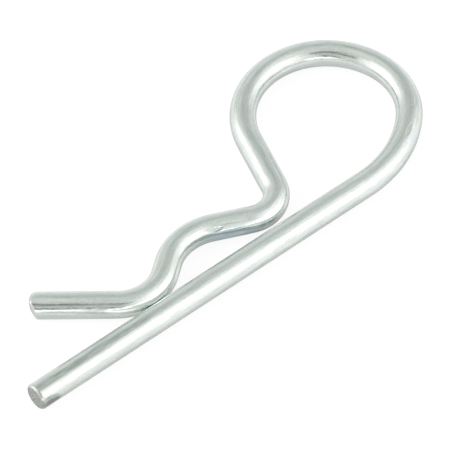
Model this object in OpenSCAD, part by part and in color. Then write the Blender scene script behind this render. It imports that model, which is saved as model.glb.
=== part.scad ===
// Spring cotter pin (R-clip): one length of round spring wire, bent in one plane.
//
// The straight leg goes through a cross hole in a shaft. The formed leg snaps over the outside
// of that shaft, which then sits in the saddle between the two waists. The eye is the spring and
// the finger grip, and the flared end guides the formed leg over the shaft.
//
// The clip lies flat on its side. The straight leg runs along X, with its tip at -X and the eye
// at +X, and the formed leg is on its +Y side. The origin is at the middle of the clip's outline,
// on the surface that it lies on.

/* [Wire] */
// Diameter of the round wire
wire_d = 4; // [3:0.1:5]
// Share of its diameter that the wire would lose if it were bent to a radius of one diameter. In a
// wider bend it loses less in proportion.
draw_down = 0.02; // [0.01:0.005:0.04]

/* [Straight leg] */
// Length from the tip to where the eye starts to bend away
leg_length = 61; // [54:0.5:90]
// Radius of the softened edge round the sheared face of its tip
leg_tip_round = 0.5; // [0.2:0.1:1.4]

/* [Eye] */
// Centreline radius of the gentle bend that leaves the straight leg
lead_bend_r = 18.8; // [14:0.1:24]
// Turn of that bend, in degrees
lead_turn = 44; // [36:1:60]
// Centreline radius of the bend round the back of the eye
back_bend_r = 11.4; // [9:0.1:16]
// Turn of that bend, in degrees
back_turn = 64; // [54:1:80]
// Centreline radius of the bend over the crown, which comes down to the neck
crown_bend_r = 12.5; // [9:0.1:16]
// Short straight that is left between one bend of the eye and the next
eye_straight = 0.2; // [0.1:0.1:2]

/* [Neck and inner waist] */
// Angle at which the neck comes down towards the straight leg
neck_angle = 73; // [60:1:85]
// Gap that is left between the two legs at the inner waist
inner_waist_gap = 1; // [0.2:0.1:3]
// Centreline radius of the bend at the inner waist
inner_waist_r = 4.7; // [3.5:0.1:7]

/* [Saddle] */
// Diameter of the shaft that the clip snaps over
shaft_d = 13; // [12.5:0.1:16]
// Play that the relaxed saddle leaves round the shaft, before what the bend is drawn down by
shaft_play = 0.2; // [0:0.05:0.5]
// Angle at which the formed leg rises from the inner waist to the saddle
rise_angle = 24.5; // [18:0.5:28]
// Angle at which it comes down again to the outer waist
fall_angle = 37.5; // [28:0.5:42]

/* [Outer waist and flared end] */
// Gap between the two legs at the outer waist, where they all but touch
outer_waist_gap = 0.1; // [0.1:0.1:1]
// Centreline radius of the bend at the outer waist
outer_waist_r = 7; // [4:0.1:8]
// Angle at which the end leg flares away from the straight leg
flare_angle = 39; // [25:1:50]
// Length of the straight end leg, from the outer waist's bend to its tip
flare_length = 12.5; // [6:0.5:20]
// Radius of the edge round the sheared face of its tip, which is rounded more than the leg's
flare_tip_round = 1.1; // [0.2:0.1:1.4]

/* [Hidden] */
$fn = 96;
bright_zinc = [0.75, 0.78, 0.77];

// Length by which a bend is drawn into the straight wire at each of its ends
lap = 0.02;

// Diameter that the wire is drawn down to in a bend of a radius
function bent_d(radius) = wire_d * (1 - draw_down * wire_d / radius);

// The saddle is concentric with the shaft, whose axis crosses the straight leg's axis.
saddle_r = shaft_d / 2 + shaft_play + wire_d / 2;

// Distance of the formed leg's centreline from the straight leg's, at each waist
inner_waist_y = (wire_d + bent_d(inner_waist_r)) / 2 + inner_waist_gap;
outer_waist_y = (wire_d + bent_d(outer_waist_r)) / 2 + outer_waist_gap;

// Height that a bend of a radius gains while it turns through an angle from level
function bend_rise(radius, angle) = radius * (1 - cos(angle));

// Length of a straight run at an angle, when it has to gain a height
function run_over(height, angle) = height / sin(angle);

// The eye turns the wire right round, until it points down the neck.
crown_turn = 180 + neck_angle - lead_turn - back_turn;

// Height of the centreline where the crown starts, and at the crown's top
crown_start_y = bend_rise(lead_bend_r, lead_turn)
    + bend_rise(back_bend_r, lead_turn + back_turn) - bend_rise(back_bend_r, lead_turn)
    + eye_straight * (sin(lead_turn) + sin(lead_turn + back_turn));
crown_top_y = crown_start_y
    + bend_rise(crown_bend_r, 180) - bend_rise(crown_bend_r, lead_turn + back_turn);
neck_start_y = crown_top_y - bend_rise(crown_bend_r, neck_angle);

// The straight runs between the bends take up what the bends leave of each height.
neck_length = run_over(
    neck_start_y - inner_waist_y - bend_rise(inner_waist_r, neck_angle), neck_angle);
rise_length = run_over(
    saddle_r - bend_rise(saddle_r, rise_angle)
    - inner_waist_y - bend_rise(inner_waist_r, rise_angle), rise_angle);
fall_length = run_over(
    saddle_r - bend_rise(saddle_r, fall_angle)
    - outer_waist_y - bend_rise(outer_waist_r, fall_angle), fall_angle);

// Outline of the clip: its length along X, and how far it reaches to +Y of the leg's centreline
outline_length = leg_length + lead_bend_r * sin(lead_turn) + eye_straight * cos(lead_turn)
    + back_bend_r * (1 - sin(lead_turn)) + bent_d(back_bend_r) / 2;
outline_reach = crown_top_y + bent_d(crown_bend_r) / 2;

// Every circle below starts on the wire's -Y side, so one seam line runs along the whole wire.

// A straight run of wire along +X. What follows it starts at its far end.
module run(length) {
    rotate([0, 90, 0])
        rotate(-90)
            cylinder(d = wire_d, h = length);
    translate([length, 0, 0])
        children();
}

// An end leg of the wire along +X, with its sheared end at the origin: a flat face with a rounded
// edge. What follows it starts at its far end.
module end_leg(length, edge_round) {
    face_r = wire_d / 2 - edge_round;
    rotate([0, 90, 0])
        rotate(-90)
            rotate_extrude() {
                square([face_r, length]);
                translate([0, edge_round])
                    square([wire_d / 2, length - edge_round]);
                translate([face_r, edge_round])
                    intersection() {
                        circle(r = edge_round);
                        translate([0, -edge_round])
                            square(edge_round);
                    }
            }
    translate([length, 0, 0])
        children();
}

// A bend to the left that starts along +X, with its circle's start turned by seam_turn. Straight
// wire comes before and after it, and it is drawn a lap into both. What follows starts at its end,
// along its new direction.
module left_bend(radius, angle, seam_turn = 0) {
    lap_angle = lap / radius * 180 / PI;
    translate([0, radius, 0]) {
        rotate(-90 - lap_angle)
            rotate_extrude(angle = angle + 2 * lap_angle)
                translate([radius, 0])
                    rotate(seam_turn)
                        circle(d = bent_d(radius));
        rotate(angle)
            translate([0, -radius, 0])
                children();
    }
}

// The same bend to the right
module right_bend(radius, angle) {
    mirror([0, 1, 0])
        left_bend(radius, angle, 180)
            mirror([0, 1, 0])
                children();
}

// The eye: a gentle bend off the straight leg, round the back, and over the crown
module eye() {
    left_bend(lead_bend_r, lead_turn)
        run(eye_straight)
            left_bend(back_bend_r, back_turn)
                run(eye_straight)
                    left_bend(crown_bend_r, crown_turn)
                        children();
}

// The formed leg after the eye: down the neck, round the inner waist, over the saddle and
// down to the outer waist
module formed_leg() {
    run(neck_length)
        right_bend(inner_waist_r, neck_angle + rise_angle)
            run(rise_length)
                left_bend(saddle_r, rise_angle + fall_angle)
                    run(fall_length)
                        right_bend(outer_waist_r, fall_angle + flare_angle)
                            children();
}

// The flared end leg, out to its tip
module flared_end() {
    translate([flare_length, 0, 0])
        rotate(180)
            end_leg(flare_length, flare_tip_round);
}

module spring_clip() {
    color(bright_zinc)
        translate([-outline_length / 2, (wire_d / 2 - outline_reach) / 2, wire_d / 2])
            end_leg(leg_length, leg_tip_round)
                eye()
                    formed_leg()
                        flared_end();
}

spring_clip();
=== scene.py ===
"""Looks of the spring cotter pin (R-clip): bright zinc plated spring wire on a pale studio floor.

The wire is swept again along the clip's own line, with finer rings than the CAD node has, so that
its sheared ends and its surface can carry detail. The line and the sizes are those of the part.
"""

import math

import bpy
import numpy as np
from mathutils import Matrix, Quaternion, Vector


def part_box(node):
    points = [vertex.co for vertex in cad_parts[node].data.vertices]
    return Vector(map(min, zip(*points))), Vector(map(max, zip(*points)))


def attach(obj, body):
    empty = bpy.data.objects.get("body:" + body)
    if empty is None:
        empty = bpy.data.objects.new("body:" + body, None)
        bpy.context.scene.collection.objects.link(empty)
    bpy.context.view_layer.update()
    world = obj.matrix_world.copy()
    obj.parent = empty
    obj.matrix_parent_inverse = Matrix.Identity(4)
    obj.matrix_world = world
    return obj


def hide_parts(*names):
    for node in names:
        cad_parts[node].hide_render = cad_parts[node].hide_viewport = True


MM = 0.001
NODE = "spring_clip"

# The wire, in millimetres and degrees, with left bends as positive turns
WIRE_D = 4.0
LEG_TIP_ROUND, FLARE_TIP_ROUND = 0.5, 1.1
DRAW_DOWN = 0.02
LEG_LENGTH = 61.0
LEAD_R, LEAD_TURN = 18.8, 44.0
BACK_R, BACK_TURN = 11.4, 64.0
CROWN_R = 12.5
EYE_STRAIGHT = 0.2
NECK_ANGLE = 73.0
INNER_WAIST_GAP, INNER_WAIST_R = 1.0, 4.7
SHAFT_D, SHAFT_PLAY = 13.0, 0.2
RISE_ANGLE, FALL_ANGLE = 24.5, 37.5
OUTER_WAIST_GAP, OUTER_WAIST_R = 0.1, 7.0
FLARE_ANGLE, FLARE_LENGTH = 39.0, 12.5

# How finely the wire is swept: points in a ring, millimetres between rings, and rings over the
# rounded edge and over the sheared face of a tip
RING_SIDES = 96
RING_STEP = 0.25
EDGE_RINGS = 10
FACE_RINGS = 7
# Millimetres over which a bend fades into the straight wire, on each side of its start and end
BEND_BLEND = 1.5

# The shear left the flared tip's low side slanted, with a crisper edge: the slant's slope, the
# edge's radius there, and the side that each is on, as an angle round the wire from its left
FLARE_SLANT, FLARE_SLANT_SIDE = 0.50, math.radians(-21)
FLARE_CRISP_ROUND, FLARE_LOW_SIDE = 0.35, math.radians(-39)
# Millimetres before the flared tip's edge that have no plain rings, to make room for the slant
FLARE_CLEAR = 1.0

# The camera, at the photo's angle, from the target: azimuth from +Y towards +X, elevation and
# roll in degrees. The target is on the clip's middle plane.
CAMERA_AZIMUTH = -141.043
CAMERA_ELEVATION = 50.869
CAMERA_ROLL = -0.615
CAMERA_DISTANCE = 0.5797
CAMERA_TARGET = Vector((0.00049, -0.00610, 0.002))
CAMERA_LENS = 318.6


# ---- The wire's line ----


def bent_d(radius):
    """Diameter that the wire is drawn down to in a bend."""
    return WIRE_D * (1 - DRAW_DOWN * WIRE_D / radius)


def bend_rise(radius, angle):
    """Height that a bend gains while it turns through an angle from level."""
    return radius * (1 - math.cos(math.radians(angle)))


def bend(radius, angle):
    """A bend as (length, turn in radians)."""
    turn = math.radians(angle)
    return radius * abs(turn), turn


def run(length):
    """A straight run as (length, turn)."""
    return length, 0.0


def run_between(height, angle, *radii):
    """The straight run between bends of these radii, when all together gain a height."""
    left = height - sum(bend_rise(radius, angle) for radius in radii)
    return run(left / math.sin(math.radians(angle)))


def wire_pieces():
    """The runs and bends of the wire in order, from the straight leg's tip."""
    saddle_r = SHAFT_D / 2 + SHAFT_PLAY + WIRE_D / 2
    inner_y = (WIRE_D + bent_d(INNER_WAIST_R)) / 2 + INNER_WAIST_GAP
    outer_y = (WIRE_D + bent_d(OUTER_WAIST_R)) / 2 + OUTER_WAIST_GAP
    turned = LEAD_TURN + BACK_TURN
    crown_top_y = (
        bend_rise(LEAD_R, LEAD_TURN)
        + bend_rise(BACK_R, turned)
        - bend_rise(BACK_R, LEAD_TURN)
        + EYE_STRAIGHT * math.sin(math.radians(LEAD_TURN))
        + EYE_STRAIGHT * math.sin(math.radians(turned))
        + bend_rise(CROWN_R, 180)
        - bend_rise(CROWN_R, turned)
    )
    return [
        run(LEG_LENGTH),
        bend(LEAD_R, LEAD_TURN),
        run(EYE_STRAIGHT),
        bend(BACK_R, BACK_TURN),
        run(EYE_STRAIGHT),
        bend(CROWN_R, 180 + NECK_ANGLE - turned),
        run_between(crown_top_y - inner_y, NECK_ANGLE, CROWN_R, INNER_WAIST_R),
        bend(INNER_WAIST_R, -NECK_ANGLE - RISE_ANGLE),
        run_between(saddle_r - inner_y, RISE_ANGLE, saddle_r, INNER_WAIST_R),
        bend(saddle_r, RISE_ANGLE + FALL_ANGLE),
        run_between(saddle_r - outer_y, FALL_ANGLE, saddle_r, OUTER_WAIST_R),
        bend(OUTER_WAIST_R, -FALL_ANGLE - FLARE_ANGLE),
        run(FLARE_LENGTH),
    ]


class WireLine:
    """The wire's centreline in the row frame, in millimetres, by the distance along it."""

    def __init__(self):
        low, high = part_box(NODE)
        point = np.array([low.x / MM, low.y / MM + WIRE_D / 2])
        self.level = (low.z + high.z) / 2 / MM
        heading, along = 0.0, 0.0
        self.starts = []
        for length, turn in wire_pieces():
            self.starts.append((along, length, turn, point, heading))
            point = self.step(point, heading, length, turn, length)
            heading += turn
            along += length
        self.length = along

    @staticmethod
    def step(point, heading, length, turn, distance):
        """Where a piece that starts at point with heading is after a distance."""
        if turn == 0:
            return point + distance * np.array([math.cos(heading), math.sin(heading)])
        radius = length / turn
        end = heading + distance / radius
        return point + radius * np.array(
            [math.sin(end) - math.sin(heading), math.cos(heading) - math.cos(end)]
        )

    def at(self, distance):
        """(point, heading, curvature) at a distance from the straight leg's tip."""
        piece = next(
            (p for p in reversed(self.starts) if p[0] <= distance), self.starts[0]
        )
        along, length, turn, point, heading = piece
        inside = distance - along
        curvature = turn / length
        return (
            self.step(point, heading, length, turn, inside),
            heading + curvature * inside,
            curvature,
        )

    def smooth_curvature(self, distance):
        """Curvature averaged over a short length, so that a bend fades into its neighbours."""
        offsets = np.linspace(-BEND_BLEND, BEND_BLEND, 9)
        places = np.clip(distance + offsets, 0, self.length)
        return float(np.mean([abs(self.at(s)[2]) for s in places]))


# ---- The wire's mesh ----


def tip_rings(edge_round):
    """(distance from the tip, radius) of the rings over a sheared face and its rounded edge.

    The edge's radius is a number for each side of the wire, and so are both results.
    """
    face_r = WIRE_D / 2 - edge_round
    face = [(edge_round * 0, face_r * k / FACE_RINGS) for k in range(1, FACE_RINGS)]
    angles = np.linspace(0, math.pi / 2, EDGE_RINGS)
    edge = [(edge_round * (1 - math.cos(a)), face_r + edge_round * math.sin(a)) for a in angles]
    return face + edge


def flare_tip_rings(around):
    """Rings of the flared tip. Its low side is sheared at a slant and keeps a crisper edge."""
    lowness = np.cos(around - FLARE_LOW_SIDE)
    crisp = np.clip((lowness + 0.9) / 0.7, 0, 1)
    rings = tip_rings(FLARE_TIP_ROUND + (FLARE_CRISP_ROUND - FLARE_TIP_ROUND) * crisp)
    slant = FLARE_SLANT * np.cos(around - FLARE_SLANT_SIDE)
    return [(distance + np.maximum(slant * radius, 0), radius) for distance, radius in rings]


def ring_places(line, around):
    """(distance along the wire, radius) of each ring, from one sheared face to the other."""
    first, last = LEG_TIP_ROUND, line.length - FLARE_TIP_ROUND
    count = round((last - first) / RING_STEP)
    start = tip_rings(np.full(len(around), LEG_TIP_ROUND))
    middle = [
        (s, WIRE_D / 2 - DRAW_DOWN * WIRE_D**2 / 2 * line.smooth_curvature(s))
        for s in np.linspace(first, last - FLARE_CLEAR, count)[1:-1]
    ]
    end = [(line.length - s, r) for s, r in reversed(flare_tip_rings(around))]
    return start + middle + end


def sweep_wire(name, line):
    """The wire as one closed mesh, with each point's place on the straightened wire."""
    around = np.arange(RING_SIDES) * 2 * math.pi / RING_SIDES
    places = ring_places(line, around)
    points, straight = [], []

    def add(distances, radii, angles):
        ring = np.broadcast_arrays(distances, radii, angles)
        for distance, radius, angle in zip(*ring):
            (x, y), heading, _ = line.at(distance)
            side = radius * math.cos(angle)
            height = radius * math.sin(angle)
            points.append(
                (x - math.sin(heading) * side, y + math.cos(heading) * side, line.level + height)
            )
            straight.append((distance, side, height))

    for distance, radius in places:
        add(distance, radius, around)
    add(0.0, 0.0, around[:1])
    add(line.length, 0.0, around[:1])

    last = len(places) - 1
    first_centre = len(places) * RING_SIDES
    faces = []
    for side in range(RING_SIDES):
        following = (side + 1) % RING_SIDES
        faces.append((first_centre, following, side))
        base = last * RING_SIDES
        faces.append((first_centre + 1, base + side, base + following))
        for ring in range(last):
            a, b = ring * RING_SIDES, (ring + 1) * RING_SIDES
            faces.append((a + side, a + following, b + following, b + side))

    mesh = bpy.data.meshes.new(name)
    mesh.from_pydata((np.array(points) * MM).tolist(), [], faces)
    layer = mesh.attributes.new("straight", "FLOAT_VECTOR", "POINT")
    layer.data.foreach_set("vector", np.array(straight, dtype=np.float32).ravel())
    mesh.polygons.foreach_set("use_smooth", [True] * len(mesh.polygons))
    mesh.update()
    wire = bpy.data.objects.new(name, mesh)
    bpy.context.collection.objects.link(wire)
    return wire


# ---- Materials ----


class Nodes:
    """Short ways to add nodes to one node tree."""

    def __init__(self, tree):
        self.tree = tree
        self.tree.nodes.clear()

    def add(self, kind, inputs=None, **settings):
        node = self.tree.nodes.new(kind)
        for key, value in settings.items():
            setattr(node, key, value)
        for key, value in (inputs or {}).items():
            self.put(node.inputs[key], value)
        return node

    def put(self, socket, value):
        if isinstance(value, bpy.types.NodeSocket):
            self.tree.links.new(value, socket)
        else:
            socket.default_value = value

    def math(self, operation, *values):
        node = self.add("ShaderNodeMath", operation=operation)
        for socket, value in zip(node.inputs, values):
            self.put(socket, value)
        return node.outputs[0]

    def vector(self, operation, *values):
        node = self.add("ShaderNodeVectorMath", operation=operation)
        for socket, value in zip(node.inputs, values):
            self.put(socket, value)
        return node.outputs["Value" if operation == "DOT_PRODUCT" else "Vector"]

    def split(self, vector):
        """The three parts of a vector."""
        return self.add("ShaderNodeSeparateXYZ", {0: vector}).outputs

    def ramp(self, value, low, high, to_low=0.0, to_high=1.0):
        """Smooth step of value from low to high."""
        return self.add(
            "ShaderNodeMapRange",
            {0: value, 1: low, 2: high, 3: to_low, 4: to_high},
            interpolation_type="SMOOTHSTEP",
        ).outputs[0]

    def noise(self, place, scale, detail, roughness):
        """Noise from 0 to 1 at a place that is stretched by scale."""
        stretched = self.vector("MULTIPLY", place, scale)
        return self.add(
            "ShaderNodeTexNoise",
            {"Vector": stretched, "Scale": 1.0, "Detail": detail, "Roughness": roughness},
        ).outputs[0]

    def blob(self, place, centre, size):
        """1 at a centre, fading to 0 at its half size along each axis."""
        off = self.vector("DIVIDE", self.vector("SUBTRACT", place, centre), size)
        return self.ramp(self.vector("DOT_PRODUCT", off, off), 1.0, 0.2)

    def bar(self, sine, half_angle):
        """1 within a half angle of a plane, given the sine of the angle off it, with soft edges."""
        edge = math.sin(math.radians(half_angle))
        return self.ramp(self.math("ABSOLUTE", sine), edge * 1.4, edge * 0.6)

    def blend(self, factor, a, b):
        """Number a where factor is 0 and b where it is 1."""
        node = self.add("ShaderNodeMix", data_type="FLOAT")
        self.put(node.inputs[0], factor)
        self.put(node.inputs[2], a)
        self.put(node.inputs[3], b)
        return node.outputs[0]

    def mix(self, factor, a, b):
        """Colour a where factor is 0 and b where it is 1."""
        node = self.add("ShaderNodeMix", data_type="RGBA")
        self.put(node.inputs[0], factor)
        self.put(node.inputs[6], a)
        self.put(node.inputs[7], b)
        return node.outputs[2]


WHITE = (1, 1, 1, 1)
ZINC = (0.765, 0.808, 0.770, 1)
ZINC_GREEN = (0.600, 0.660, 0.615, 1)
ZINC_BLUE = (0.715, 0.768, 0.775, 1)
ZINC_PALE = (0.840, 0.845, 0.815, 1)
CUT_STEEL = (0.56, 0.575, 0.545, 1)
CUT_DARK = (0.30, 0.32, 0.30, 1)

# Noises that make up the plating, and the torn steel of the cut faces: (how often each changes
# per mm along and across the straightened wire, detail, roughness)
NOISES = {
    "lines": ((0.10, 6.0, 6.0), 3.0, 0.5),
    "bands": ((0.035, 1.3, 1.3), 2.0, 0.5),
    "streaks": ((0.30, 2.2, 2.2), 4.0, 0.6),
    "mottle": ((0.35, 0.9, 0.9), 3.0, 0.5),
    "grain": ((3.0, 9.0, 9.0), 2.0, 0.5),
    "torn": ((5.0, 3.2, 3.2), 4.0, 0.65),
}
# Tints laid over plain zinc one after another: (noise, where in it the tint starts and is full,
# its share where it is full, colour)
TINTS = [
    ("mottle", 0.35, 0.68, 1.0, ZINC_BLUE),
    ("streaks", 0.48, 0.66, 0.85, ZINC_GREEN),
    ("lines", 0.48, 0.66, 0.45, ZINC_GREEN),
    ("bands", 0.52, 0.78, 0.5, ZINC_PALE),
    ("grain", 0.45, 0.70, 0.7, ZINC_GREEN),
]
# Roughness of the smoothest plating and of a cut face, and what two of the noises add to it
POLISH, CUT_ROUGHNESS = 0.07, 0.45
DULLING = [("mottle", 0.08), ("lines", 0.06)]
# Relief, in mm: depth of each noise, the level under them, and depth of the torn faces
RELIEF = [
    ("bands", 0.030),
    ("lines", 0.012),
    ("streaks", 0.020),
    ("mottle", 0.030),
    ("grain", 0.005),
]
RELIEF_LEVEL, TORN_DEPTH = -0.015, 0.16

# The dulled edge of a tip: where it starts and is full, in mm from the tip, its share of steel
# and what it adds to the roughness. Then the torn face: the same two places, and how ragged its
# border is, in mm.
RIM_REACH, RIM_STEEL, RIM_DULLING = (0.9, 0.3), 0.35, 0.10
CUT_REACH, CUT_RAGGED = (0.20, 0.09), 0.12

# How far a dent's tint goes towards the duller one
DENT_DULLNESS = 0.3
# The nick in the rise, and small dents where the eye's first two bends meet: (centre, half size,
# depth), on the straightened wire, in mm
DENTS = [
    ((143.9, 1.46, 1.36), (1.9, 0.45, 0.50), 0.090),
    ((77.4, -0.92, 1.77), (0.9, 0.22, 0.22), 0.040),
    ((76.2, -0.29, 1.98), (0.5, 0.30, 0.25), 0.025),
    ((72.0, -0.60, 1.90), (1.6, 0.35, 0.25), 0.030),
]
# Darker and paler stretches of the plating: (centre, half size, strength, colour), on the
# straightened wire, in mm. The first two are tarnish near the straight tip; the others are painted
# shade and painted highlights. A strength over 1 makes the middle even and the edge sharper.
STAINS_AND_PAINTED_LIGHT = [
    ((6.0, -0.16, 1.99), (22.0, 0.75, 0.90), 0.9, (0.44, 0.49, 0.45, 1)),
    ((8.0, -1.81, 0.86), (18.0, 0.45, 0.60), 0.6, (0.62, 0.66, 0.61, 1)),
    # Painted shade on the near lower side of the straight tip, where its rounded edge is darker
    ((0.9, -1.90, 0.00), (2.6, 0.60, 1.40), 1.5, (0.27, 0.30, 0.28, 1)),
    # Painted shade: the blue-grey underside of the rise, mirroring the shaded floor between the
    # legs
    ((142.5, 2.00, -0.10), (8.0, 1.10, 1.30), 1.0, (0.52, 0.61, 0.65, 1)),
    # Painted highlight: a pale blue band on the rise's near side
    ((140.5, 1.70, 1.05), (5.0, 0.50, 0.55), 0.8, (0.78, 0.88, 0.92, 1)),
    # Painted shade along the rise's lower rim
    ((140.5, 1.68, -1.10), (6.5, 0.60, 0.75), 1.0, (0.46, 0.53, 0.54, 1)),
    # Painted shade on the saddle's near side
    ((150.5, 1.95, 0.20), (4.5, 0.60, 0.90), 0.7, (0.68, 0.74, 0.72, 1)),
    # Painted reflection of the straight leg's highlight on the outer waist's near underside
    ((160.0, 1.80, 0.70), (7.0, 0.65, 1.20), 2.5, (0.97, 1.00, 0.98, 1)),
    # Painted reflection of the straight leg's highlight on the inner waist's near underside
    ((135.8, 1.70, 0.95), (4.0, 0.65, 0.80), 2.5, (0.97, 1.00, 0.98, 1)),
    # Painted shade on the inner waist's lower rim, next to the straight leg
    ((136.6, 1.80, -0.75), (4.6, 0.70, 0.85), 1.0, (0.36, 0.42, 0.40, 1)),
    # Painted shade: the bluish underside of the flared leg, mirroring the floor under it
    ((172.5, 1.45, -1.30), (6.0, 1.30, 1.50), 0.8, (0.68, 0.79, 0.77, 1)),
]


def plating(nodes, noises):
    """(tint, roughness, height in mm) of zinc over drawn wire."""
    tint, roughness, height = ZINC, POLISH, RELIEF_LEVEL
    for name, start, full, share, colour in TINTS:
        tint = nodes.mix(nodes.ramp(noises[name], start, full, 0.0, share), tint, colour)
    for name, amount in DULLING:
        roughness = nodes.math("MULTIPLY_ADD", noises[name], amount, roughness)
    for name, depth in RELIEF:
        height = nodes.math("MULTIPLY_ADD", noises[name], depth, height)
    return tint, roughness, height


def stained_and_painted(nodes, place, noises, tint):
    """The tint with the stains, painted shade and painted highlights, all broken up by the streaks.
    """
    patchy = nodes.ramp(noises["streaks"], 0.36, 0.58, 0.35, 1.0)
    for centre, size, strength, colour in STAINS_AND_PAINTED_LIGHT:
        # Each stain, painted shade or painted highlight is laid over the tint in turn
        stain_and_painted_light = nodes.math("MULTIPLY", nodes.blob(place, centre, size), strength)
        tint = nodes.mix(nodes.math("MULTIPLY", stain_and_painted_light, patchy), tint, colour)
    return tint


def dented(nodes, place, tint, height):
    """(tint, height) with the dents, which are a little duller than the wire round them."""
    for centre, size, depth in DENTS:
        dent = nodes.blob(place, centre, size)
        height = nodes.math("MULTIPLY_ADD", dent, -depth, height)
        tint = nodes.mix(nodes.math("MULTIPLY", dent, DENT_DULLNESS), tint, ZINC_GREEN)
    return tint, height


def sheared(nodes, place, wire_length, torn, tint, roughness, height):
    """(tint, roughness, height) with dull edges round the tips and faces of bare, torn steel."""
    along = nodes.split(place)[0]
    from_tip = nodes.math("MINIMUM", along, nodes.math("SUBTRACT", wire_length, along))
    rim = nodes.ramp(from_tip, *RIM_REACH)
    tint = nodes.mix(nodes.math("MULTIPLY", rim, RIM_STEEL), tint, CUT_STEEL)
    roughness = nodes.math("MULTIPLY_ADD", rim, RIM_DULLING, roughness)
    cut = nodes.ramp(nodes.math("MULTIPLY_ADD", torn, CUT_RAGGED, from_tip), *CUT_REACH)
    cut_tint = nodes.mix(nodes.ramp(torn, 0.38, 0.64), CUT_STEEL, CUT_DARK)
    tint = nodes.mix(cut, tint, cut_tint)
    roughness = nodes.blend(cut, roughness, CUT_ROUGHNESS)
    height = nodes.blend(cut, height, nodes.math("MULTIPLY", torn, TORN_DEPTH))
    return tint, roughness, height


def zinc_material(wire_length):
    """Bright zinc over drawn wire: long draw lines, soft mottling, stains, painted shade and
    highlights, and duller cut faces.
    """
    material = bpy.data.materials.new("bright_zinc")
    material.use_nodes = True
    nodes = Nodes(material.node_tree)
    place = nodes.add("ShaderNodeAttribute", attribute_name="straight").outputs["Vector"]
    noises = {name: nodes.noise(place, *values) for name, values in NOISES.items()}
    tint, roughness, height = plating(nodes, noises)
    tint = stained_and_painted(nodes, place, noises, tint)
    tint, height = dented(nodes, place, tint, height)
    tint, roughness, height = sheared(
        nodes, place, wire_length, noises["torn"], tint, roughness, height
    )
    bump = nodes.add("ShaderNodeBump", {"Strength": 1.0, "Distance": MM, "Height": height})
    shader = nodes.add(
        "ShaderNodeBsdfPrincipled",
        {"Base Color": tint, "Metallic": 1.0, "Roughness": roughness, "Normal": bump.outputs[0]},
    )
    nodes.add("ShaderNodeOutputMaterial", {"Surface": shader.outputs[0]})
    return material


FLOOR_COLOUR = (0.63, 0.63, 0.625, 1)
FLOOR_CLOUD = (0.635, 0.632, 0.628, 1)
CLOUD_NOISE = ((3.0, 3.0, 3.0), 2.0, 0.5)
FLOOR_ROUGHNESS, SHEEN_ROUGHNESS = 0.4, 0.25
# Strength of the white that lifts the floor, and its share in what the camera sees
FLOOR_WHITE, FLOOR_GLOW = 1.12, 0.80
# Shares of the sheen in the floor, and of the white in what the wire mirrors of the floor: (from
# above, at a grazing angle)
FLOOR_SHEEN = (0.02, 0.65)
FLOOR_LIFT = (0.28, 0.80)
# Half of the floor's side, in metres
FLOOR_HALF = 3.0


def floor_material():
    """Satin paper that is lifted towards white for the camera and, less, in the wire's reflections.

    The rest of what is seen of it is its own lit colour, so it keeps the clip's shadow.
    """
    material = bpy.data.materials.new("pale_floor")
    material.use_nodes = True
    nodes = Nodes(material.node_tree)
    place = nodes.add("ShaderNodeTexCoord").outputs["Object"]
    cloud = nodes.noise(place, *CLOUD_NOISE)
    colour = nodes.mix(cloud, FLOOR_COLOUR, FLOOR_CLOUD)
    paper = nodes.add(
        "ShaderNodeBsdfPrincipled", {"Base Color": colour, "Roughness": FLOOR_ROUGHNESS}
    )
    gloss = nodes.add(
        "ShaderNodeBsdfAnisotropic", {"Color": WHITE, "Roughness": SHEEN_ROUGHNESS}
    )
    grazing = nodes.add("ShaderNodeLayerWeight", {"Blend": 0.5}).outputs["Facing"]
    sheen = nodes.ramp(grazing, 0.25, 0.97, *FLOOR_SHEEN)
    satin = nodes.add("ShaderNodeMixShader", {0: sheen, 1: paper.outputs[0], 2: gloss.outputs[0]})
    glow = nodes.add("ShaderNodeEmission", {"Color": WHITE, "Strength": FLOOR_WHITE})
    ray = nodes.add("ShaderNodeLightPath").outputs
    share = nodes.math("MULTIPLY", ray["Is Camera Ray"], FLOOR_GLOW)
    lift = nodes.ramp(grazing, 0.25, 0.95, *FLOOR_LIFT)
    share = nodes.math("MULTIPLY_ADD", ray["Is Glossy Ray"], lift, share)
    mixed = nodes.add("ShaderNodeMixShader", {0: share, 1: satin.outputs[0], 2: glow.outputs[0]})
    nodes.add("ShaderNodeOutputMaterial", {"Surface": mixed.outputs[0]})
    return material


# ---- Studio ----

# Brightness of the room round the clip
ROOM = 0.84
# Its lights and darker walls, in the order in which they are laid over it: (azimuth from +Y
# towards +X, elevation, inner and outer radius in degrees, brightness)
PATCHES = [
    (-128, 54, 1, 31, 0.66),
    (65, 59, 1, 44, 0.62),
    (117, 74, 1, 40, 0.80),
    (-15, 68, 1, 22, 0.90),
    (-150, -2, 14, 30, 1.85),
    (140, 25, 1, 57, 1.38),
    (143, 35, 1, 19, 2.00),
    (-54, 19, 17, 50, 1.44),
    (-52, 23, 1, 19, 2.00),
]
# Dark edges on the camera's side, such as those of its stand: (azimuth, elevation, tilt, half
# width, half height in degrees, brightness)
BARS = [
    (-145, 58, 0, 14, 5.0, 0.22),
    (-113, 46, -23, 13, 4.0, 0.25),
    (-136, 21, -20, 14, 5.5, 0.16),
]
# Tints of the room and, above a plain level of brightness, of its lights
ROOM_TINT = (0.972, 1.0, 0.982, 1)
LIGHT_TINT = (1.035, 1.0, 1.0, 1)
# The lamp: (azimuth, elevation), its width in degrees and its strength
LAMP_PLACE, LAMP_WIDTH, LAMP_STRENGTH = (-68, 32), 30, 1.0


def direction(azimuth, elevation):
    """The unit vector towards an azimuth, from +Y towards +X, and an elevation, in degrees."""
    a, e = math.radians(azimuth), math.radians(elevation)
    return (math.sin(a) * math.cos(e), math.cos(a) * math.cos(e), math.sin(e))


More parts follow.
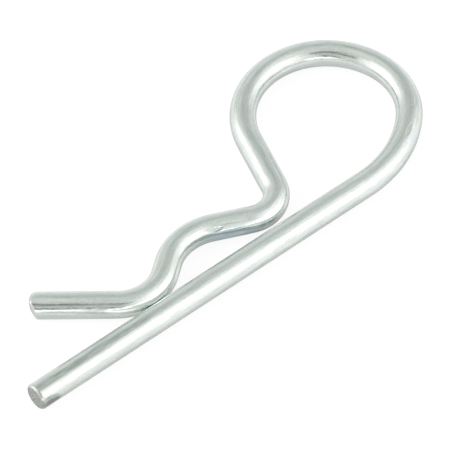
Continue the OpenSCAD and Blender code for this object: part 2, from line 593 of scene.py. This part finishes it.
def lay_patch(nodes, towards, level, azimuth, elevation, inner, outer, brightness):
    """The room's level with a round patch of a brightness, even inside and gone outside."""
    facing = nodes.vector("DOT_PRODUCT", towards, direction(azimuth, elevation))
    share = nodes.ramp(facing, math.cos(math.radians(outer)), math.cos(math.radians(inner)))
    return nodes.blend(share, level, brightness)


def lay_bar(nodes, towards, level, azimuth, elevation, tilt, half_width, half_height, brightness):
    """The room's level with a bar of a brightness, on the side of the room that it is on."""
    centre = Vector(direction(azimuth, elevation))
    turn = Quaternion(centre, math.radians(-tilt))
    sideways = turn @ Vector(direction(azimuth + 90, 0))
    upwards = turn @ Vector(direction(azimuth, elevation + 90))
    across = nodes.bar(nodes.vector("DOT_PRODUCT", towards, sideways), half_width)
    along = nodes.bar(nodes.vector("DOT_PRODUCT", towards, upwards), half_height)
    near_side = nodes.ramp(nodes.vector("DOT_PRODUCT", towards, centre), 0.3, 0.5)
    share = nodes.math("MULTIPLY", nodes.math("MULTIPLY", across, along), near_side)
    return nodes.blend(share, level, brightness)


def studio_world():
    """A pale room with soft lights, darker walls and dark edges, which the camera sees as white."""
    world = bpy.data.worlds.new("studio")
    bpy.context.scene.world = world
    world.use_nodes = True
    nodes = Nodes(world.node_tree)
    towards = nodes.add("ShaderNodeTexCoord").outputs["Generated"]
    level = ROOM
    for patch in PATCHES:
        level = lay_patch(nodes, towards, level, *patch)
    for bar in BARS:
        level = lay_bar(nodes, towards, level, *bar)
    colour = nodes.mix(nodes.ramp(level, 0.75, 1.25), ROOM_TINT, LIGHT_TINT)
    tint = nodes.add("ShaderNodeBackground", {"Color": colour, "Strength": level})
    white = nodes.add("ShaderNodeBackground", {"Color": WHITE, "Strength": 1.0})
    seen = nodes.add("ShaderNodeLightPath").outputs["Is Camera Ray"]
    mixed = nodes.add("ShaderNodeMixShader", {0: seen, 1: tint.outputs[0], 2: white.outputs[0]})
    nodes.add("ShaderNodeOutputWorld", {"Surface": mixed.outputs[0]})


def studio_floor():
    """A wide pale floor just under the clip."""
    sides = [(-1, -1), (1, -1), (1, 1), (-1, 1)]
    mesh = bpy.data.meshes.new("floor")
    corners = [(x * FLOOR_HALF, y * FLOOR_HALF, 0) for x, y in sides]
    mesh.from_pydata(corners, [], [(0, 1, 2, 3)])
    floor = bpy.data.objects.new("floor", mesh)
    floor.data.materials.append(floor_material())
    bpy.context.collection.objects.link(floor)


def studio_lamp():
    """Soft lamp from the left that lays the clip's shadow on the floor.

    The wire doesn't mirror it, because the room has the lights that the wire shows.
    """
    lamp = bpy.data.lights.new("lamp", "SUN")
    lamp.energy = LAMP_STRENGTH
    lamp.angle = math.radians(LAMP_WIDTH)
    lamp = bpy.data.objects.new("lamp", lamp)
    lamp.visible_glossy = False
    lamp.rotation_mode = "QUATERNION"
    lamp.rotation_quaternion = Vector(direction(*LAMP_PLACE)).to_track_quat("Z", "Y")
    bpy.context.collection.objects.link(lamp)


def studio_camera():
    """The photo's camera, over half a metre off and with a long lens."""
    back = Vector(direction(CAMERA_AZIMUTH, CAMERA_ELEVATION))
    camera = bpy.data.objects.new("camera", bpy.data.cameras.new("camera"))
    camera.data.lens = CAMERA_LENS
    camera.data.clip_start, camera.data.clip_end = 0.01, 20.0
    camera.location = CAMERA_TARGET + back * CAMERA_DISTANCE
    camera.rotation_mode = "QUATERNION"
    roll = Quaternion((0, 0, 1), math.radians(CAMERA_ROLL))
    camera.rotation_quaternion = back.to_track_quat("Z", "Y") @ roll
    bpy.context.collection.objects.link(camera)
    bpy.context.scene.camera = camera


# ---- The scene ----

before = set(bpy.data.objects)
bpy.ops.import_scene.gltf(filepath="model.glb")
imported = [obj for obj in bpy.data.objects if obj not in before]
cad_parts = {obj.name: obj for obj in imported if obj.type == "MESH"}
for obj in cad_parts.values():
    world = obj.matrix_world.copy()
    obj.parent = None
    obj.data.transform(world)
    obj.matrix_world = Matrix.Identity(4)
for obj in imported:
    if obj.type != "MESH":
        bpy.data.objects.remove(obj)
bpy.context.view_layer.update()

line = WireLine()
wire = sweep_wire("wire", line)
wire.data.materials.append(zinc_material(line.length))
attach(wire, "root")
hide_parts(NODE)

studio_world()
studio_floor()
studio_lamp()
studio_camera()
bpy.context.scene.view_settings.view_transform = "Standard"
